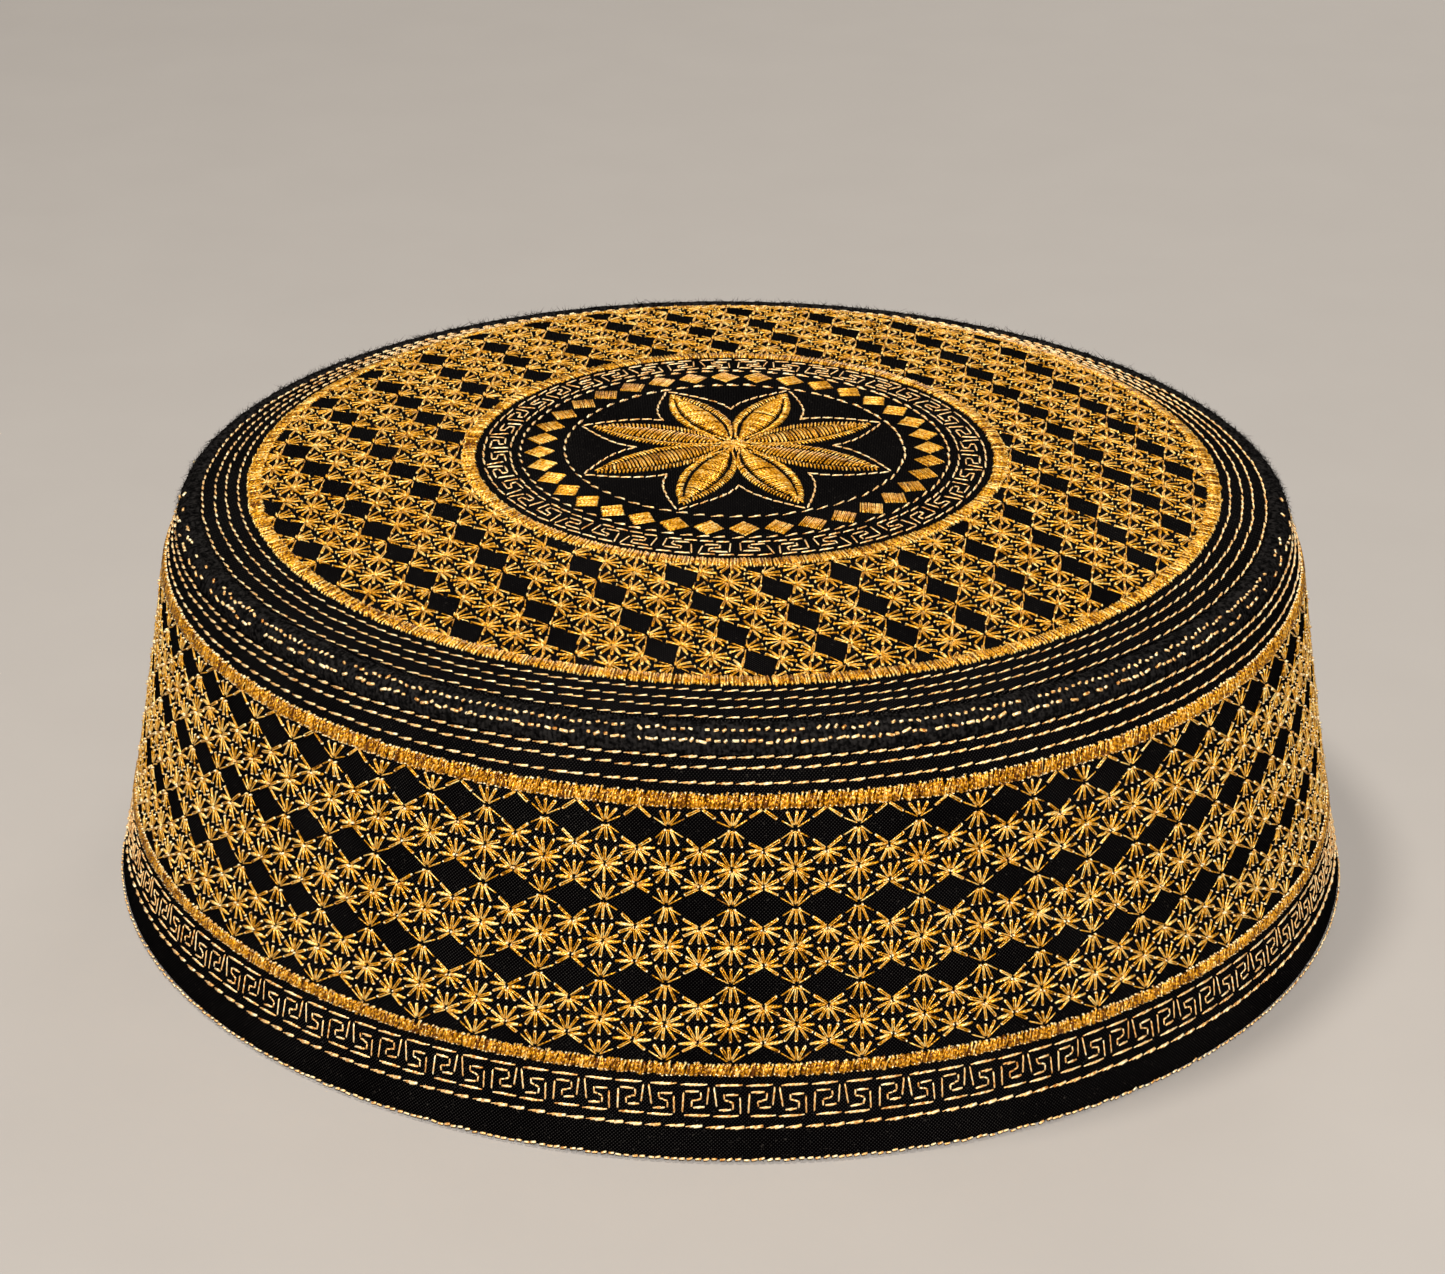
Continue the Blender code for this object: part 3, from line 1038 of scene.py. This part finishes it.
def rhombi():
    fill = (np.arange(RHOMB_THREADS) + 0.5) / RHOMB_THREADS
    foot, right = np.array([0.0, -RHOMB_TALL]), np.array([RHOMB_WIDE, 0.0])
    head, left_corner = -foot, -right
    start = foot + (right - foot) * fill[:, None]
    end = left_corner + (head - left_corner) * fill[:, None]
    starts, ends, tones = [], [], []
    for number in range(RHOMBI):
        angle = math.radians(FIRST_RHOMB + number * 360 / RHOMBI)
        out = np.array([math.cos(angle), math.sin(angle)])
        side = np.array([-out[1], out[0]])
        for points, rows in ((start, starts), (end, ends)):
            rows.append((RHOMB_MIDDLE + points[:, 1:]) * out + points[:, :1] * side)
        tones.append(np.full(len(fill), 0.36 + chance.normal(0, 0.06)))
    # tip=0.5 paints a highlight on each thread's ends.
    return strands(np.concatenate(starts), np.concatenate(ends), 0.00027, 0.00018,
                   np.concatenate(tones), spread=0.16, tip=0.5)


sew("rhombus_satin", on_crown, rhombi(), gold_thread)
circles = joined(crown_row(0.025, 0.0026, 0.0017, 0.00038),
                 crown_row(0.0316, 0.0025, 0.0016, 0.00038))
sew("crown_running_circles", on_crown, circles, pale_thread)

# %% [markdown]
# Each of the eight petals is a leaf of satin stitch, with a narrow groove of bare cloth on
# either side and a strip of satin along its edge. The half-widths along its length are charted
# from the picture, and the threads are set across it.

# %% Flower
PETALS = 8
PETAL_START, PETAL_TIP, PETAL_HALF = 0.0022, 0.0225, 0.00355
PETAL_ROWS = ((0.0, 0.1), (0.12, 0.52), (0.25, 0.84), (0.43, 1.0), (0.62, 0.9), (0.8, 0.6),
              (0.92, 0.27), (1.0, 0.04))
HEART_ROWS = ((0.0, 0.02), (0.1, 0.36), (0.25, 0.8), (0.43, 1.0), (0.62, 0.88), (0.78, 0.52),
              (0.88, 0.2), (1.0, 0.0))
HEART_HALF = 0.00205
STRIP, GROOVE = 0.00095, 0.00045
petal_curve, heart_curve = smooth_curve(PETAL_ROWS), smooth_curve(HEART_ROWS)


def petal_threads(number):
    out = GRID_TURN + number * ROUND / PETALS
    ahead = np.array([math.cos(out), math.sin(out)])
    side = np.array([-ahead[1], ahead[0]])
    length = PETAL_TIP - PETAL_START

    def place(share, across):
        return (PETAL_START + share * length)[:, None] * ahead + across[:, None] * side

    share = np.linspace(0.0, 0.9, 33)
    half = HEART_HALF * np.interp(share, *heart_curve)
    groups = [strands(place(share - 0.012, -half), place(share + 0.012, half),
                      width=0.00042, rise=0.00038, tone=0.34)]
    share = np.linspace(0.0, 0.975, 36)
    edge = PETAL_HALF * np.interp(share, *petal_curve)
    inner = HEART_HALF * np.interp(share, *heart_curve) + GROOVE
    inner = np.minimum(np.maximum(inner, edge - STRIP * 1.15), edge - 0.0002)
    inner = np.where(share > 0.9, 0.0, inner)
    for sign in (-1, 1):
        # tip=0.6 paints a highlight on the strip threads' ends.
        groups.append(strands(place(share - 0.015, sign * inner), place(share + 0.01, sign * edge),
                              width=0.00034, rise=0.00026, tone=0.42, tip=0.6))
    return joined(*groups)


sew("petal_satin", on_crown, joined(*[petal_threads(n) for n in range(PETALS)]), gold_thread,
    shape=LONG_STITCH, replaced=[f"petal_{n + 1}" for n in range(PETALS)])

# %% [markdown]
# The middle of the flower is a small knot of crossing threads. Round the petals runs an outline
# of running stitches, which dips in between them and bows out past their tips.

# %% Flower's middle and outline
KNOT_REACH = 0.0022


def knot_threads():
    angle = np.linspace(0, math.pi, 15, endpoint=False)
    first = strands(polar(-KNOT_REACH, angle), polar(KNOT_REACH, angle), 0.0003, 0.00035, 0.38,
                    spread=0.22)
    angle = np.linspace(0, ROUND, 12, endpoint=False)
    ring = strands(polar(0.0011, angle), polar(0.0011, angle + 0.9), 0.00032, 0.0004, 0.45)
    return joined(first, ring)


sew("flower_middle", on_crown, knot_threads(), gold_thread, shape=LONG_STITCH,
    replaced=["flower_knot"])


# Out along a petal and sideways from it, in mm
OUTLINE_ROWS = ((13.4, 5.55), (15.0, 5.4), (16.8, 4.95), (18.6, 4.1), (20.4, 3.0), (22.3, 1.6),
                (24.3, 0.0))


def outline_threads():
    """Stitches from each notch to the tip beyond its petal, and the same on its other side."""
    rows = np.array(OUTLINE_ROWS)
    steps = np.concatenate([[0], np.cumsum(np.linalg.norm(np.diff(rows, axis=0), axis=1))])
    marks = np.linspace(0, steps[-1], 8)[:-1]
    ends = [np.stack([np.interp(mark, steps, rows[:, axis]) for axis in (0, 1)], 1)
            for mark in (marks, marks + 0.78 * marks[1])]
    groups = []
    for lobe in range(PETALS):
        for side in (-1, 1):
            laid = [polar(np.hypot(p[:, 0], p[:, 1]) * MM,
                          GRID_TURN + lobe * ROUND / PETALS + side * np.arctan2(p[:, 1], p[:, 0]))
                    for p in ends]
            groups.append(rope(laid[0], laid[1], 0.00036, 0.00018, 0.44, plies=2))
    return joined(*groups)


sew("flower_outline", on_crown, outline_threads(), pale_thread)

# %% [markdown]
# Where the crown meets the band, the raw edges are bound with black overlock thread that has
# gone fluffy. A maker would turn a soft ring, roughen it, and let thousands of fine fibres
# stand out of it, which break up the outline as fluff does in life.

# %% Shoulder seam
RIDGE_SCALE = (0.0807, RIDGE_THICK)
ridge_rows = rounded(RIDGE_MIDDLE, -14, 104, RIDGE_THICK, 12)
ridge_rows += rounded(RIDGE_MIDDLE, 80, 10, 0.001, 3)
ridge = turn("seam_ridge", ridge_rows, sides=560)
spots = np.array([v.co for v in ridge.data.vertices])
ridge_angle = np.arctan2(spots[:, 0], -spots[:, 1])
roughness = sum(np.sin(ridge_angle * waves + waves * 1.7 + spots[:, 2] * 9000 * (1 + waves % 3))
                for waves in (97, 151, 211))
ridge_middle = on_ridge(np.stack([ridge_angle, 0 * ridge_angle], 1), thick=0.0)[0]
spots += (spots - ridge_middle) * 0.018 * roughness[:, None]
ridge.data.vertices.foreach_set("co", spots.astype(np.float32).ravel())
ridge.data.update()
settle(ridge, black_fuzz, ["shoulder_seam"])


def ridge_fibres(count, longest):
    angle = chance.uniform(0, ROUND, count)
    turn_round = chance.uniform(-0.2, 1.8, count)
    lean = chance.normal(0, 1, (count, 2)) * (0.01, 0.5)
    start = np.stack([angle, turn_round], 1)
    group = strands(start, start + lean, 0.00012, 0.0006, spread=0.2, loose=0)
    group["rise"] = longest * chance.beta(1.5, 3.0, count)
    return group


sew("seam_fuzz", on_ridge, ridge_fibres(10500, 0.0014), black_fuzz, shape=FIBRE,
    thick=1.0, free=True)


def swallowed_row(turn, pitch, length, missing, shift=0.0):
    """A row of gold stitches that the fluff half covers in front, and swallows behind."""
    count = round(ROUND * RIDGE_MIDDLE[0] / pitch)
    angle = evenly(count, shift)
    hidden = np.clip(0.75 - 1.1 * np.cos(angle), 0, 1)
    angle = angle[chance.random(count) > missing + hidden]
    start = np.stack([angle, turn + chance.normal(0, 0.03, len(angle))], 1)
    span = length * chance.uniform(0.7, 1.3, len(angle)) / RIDGE_MIDDLE[0]
    end = start + np.stack([span, chance.normal(0.03, 0.06, len(angle))], 1)
    return strands(start, end, 0.00042, 0.00034, 0.42, 0.00007, 0.26, RIDGE_SCALE)


sew("seam_swallowed_stitches", on_ridge,
    joined(swallowed_row(1.0, 0.0011, 0.00036, 0.1), swallowed_row(0.45, 0.0022, 0.0009, 0.06),
           swallowed_row(0.47, 0.0022, 0.0003, 0.25, 0.6)),
    pale_thread)

# %% [markdown]
# The rim is folded over a stiff lining. Small, uneven gold stitches bind it right at the fold,
# and the lining's cut edge leaves a short dark fringe under them.

# %% Rim stitches and fringe
RIM_SCALE = (0.093, 1)


def rim_stitches(count=545):
    angle = evenly(count) + chance.normal(0, 0.0009, count)
    low = 0.00056 + chance.normal(0, 0.00006, count).clip(-0.0001, 0.0002)
    start = np.stack([angle, low], 1)
    high = low + chance.normal(0.0001, 0.00006, count).clip(-0.0001, 0.0003)
    end = np.stack([angle + 0.0066, high], 1)
    return strands(start, end, 0.00032, 0.00026, 0.45, 0.00003, 0.2, RIM_SCALE)


def rim_fringe(count=1800):
    angle = chance.uniform(0, ROUND, count)
    start = np.stack([angle, chance.uniform(0.0008, 0.0011, count)], 1)
    lean = chance.normal(0, 0.004, count)
    end = np.stack([angle + lean, chance.uniform(0.0001, 0.0004, count)], 1)
    group = strands(start, end, 0.00007, 0.0003, loose=0)
    group["rise"] = chance.uniform(0.00008, 0.00035, count)
    return group


sew("rim_stitches", on_band, rim_stitches(), pale_thread)
sew("rim_fringe", on_band, rim_fringe(), black_fuzz, shape=FIBRE, thick=1.0, free=True,
    reach=0.0)

# %% [markdown]
# A pale floor and soft light finish the scene. One lamp overhead, a little to the left, and one
# in front make the bright tops of the threads. A broad weak lamp lights the back, and an even
# warm sky fills the shadows.

# %% Floor and light
deselect()
bpy.ops.mesh.primitive_plane_add(size=6, location=(0, 0, 0))
floor = begin("floor")
pale = Finish("pale_floor")
floor_colour = pale.blend(pale.noise(pale.place(), 40.0, 3.0),
                          (0.352, 0.333, 0.322, 1), (0.374, 0.355, 0.343, 1))
floor.data.materials.append(pale.surface(Base_Color=floor_colour, Roughness=0.8))
floor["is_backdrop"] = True


def lamp(name, place, target, size, power, colour):
    light = bpy.data.lights.new(name, "AREA")
    light.shape, light.size, light.energy, light.color = "DISK", size, power, colour
    made = bpy.data.objects.new(name, light)
    bpy.context.scene.collection.objects.link(made)
    made.location = place
    made.rotation_euler = (Vector(target) - Vector(place)).to_track_quat("-Z", "Y").to_euler()


lamp("overhead_lamp", (-0.32, 0.0, 1.25), (0, 0, 0.05), 0.2, 8.4, (1.0, 0.94, 0.84))
lamp("front_lamp", (0.05, -1.15, 0.9), (0, 0, 0.03), 0.2, 29.5, (1.0, 0.95, 0.88))
lamp("back_fill", (0.35, 1.25, 0.45), (0, 0, 0.03), 0.6, 5, (1.0, 0.94, 0.86))
world = bpy.data.worlds.new("sky")
bpy.context.scene.world = world
world.use_nodes = True
sky = world.node_tree.nodes["Background"].inputs
sky["Color"].default_value, sky["Strength"].default_value = (1.0, 0.94, 0.86, 1), 0.15
bpy.context.scene.view_settings.view_transform = "Standard"

# %% [markdown]
# Last comes a count of how many triangles the cap has, and which piece has the most.

# %% Count the triangles
triangles = {}
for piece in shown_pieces():
    if piece.type == "MESH":
        triangles[piece.name] = len(piece.data.loops) - 2 * len(piece.data.polygons)
print("triangles:", sum(triangles.values()),
      "largest piece:", max(triangles, key=triangles.get), max(triangles.values()))
